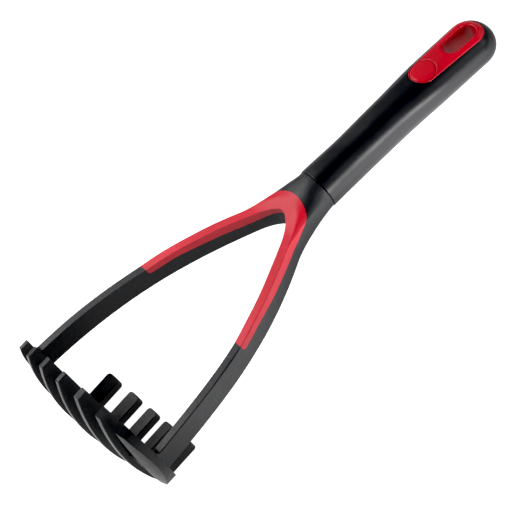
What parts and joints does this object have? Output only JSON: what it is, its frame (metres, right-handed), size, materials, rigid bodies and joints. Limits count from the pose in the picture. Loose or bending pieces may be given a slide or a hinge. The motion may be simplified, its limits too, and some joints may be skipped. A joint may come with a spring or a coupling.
{
  "type": "potato masher",
  "caption": "Potato masher: oval head of curved slats with upright scraper teeth, wishbone frame with soft red grip skin, and a black handle with a red slotted hanging insert",
  "frame": {"origin": "under the middle of the part's bounding box, on the surface it lies on", "axes": "the masher lies on its back: +Z is its front, +Y runs from the head to the end of the handle, +X is its right arm seen from the front"},
  "size_m": [0.1032, 0.2905, 0.0773],
  "materials": {
    "frame_nylon": "fine grained matte black nylon",
    "handle_plastic": "satin to gloss black",
    "soft_skin": "matte red soft-touch skin",
    "insert_plastic": "satin red"
  },
  "bodies": {
    "root": {"slat_1": "frame_nylon", "slat_2": "frame_nylon", "slat_3": "frame_nylon", "slat_4": "frame_nylon", "slat_5": "frame_nylon", "slat_6": "frame_nylon", "slat_7": "frame_nylon", "cross_rib_1": "frame_nylon", "cross_rib_2": "frame_nylon", "cross_rib_3": "frame_nylon", "cross_rib_4": "frame_nylon", "cross_rib_5": "frame_nylon", "cross_rib_6": "frame_nylon", "tooth_1": "frame_nylon", "tooth_2": "frame_nylon", "tooth_3": "frame_nylon", "tooth_4": "frame_nylon", "tooth_5": "frame_nylon", "arm_left": "frame_nylon", "arm_right": "frame_nylon", "neck": "frame_nylon", "overmould": "soft_skin", "handle_shell": "handle_plastic", "hang_insert": "insert_plastic"}
  },
  "joints": []
}
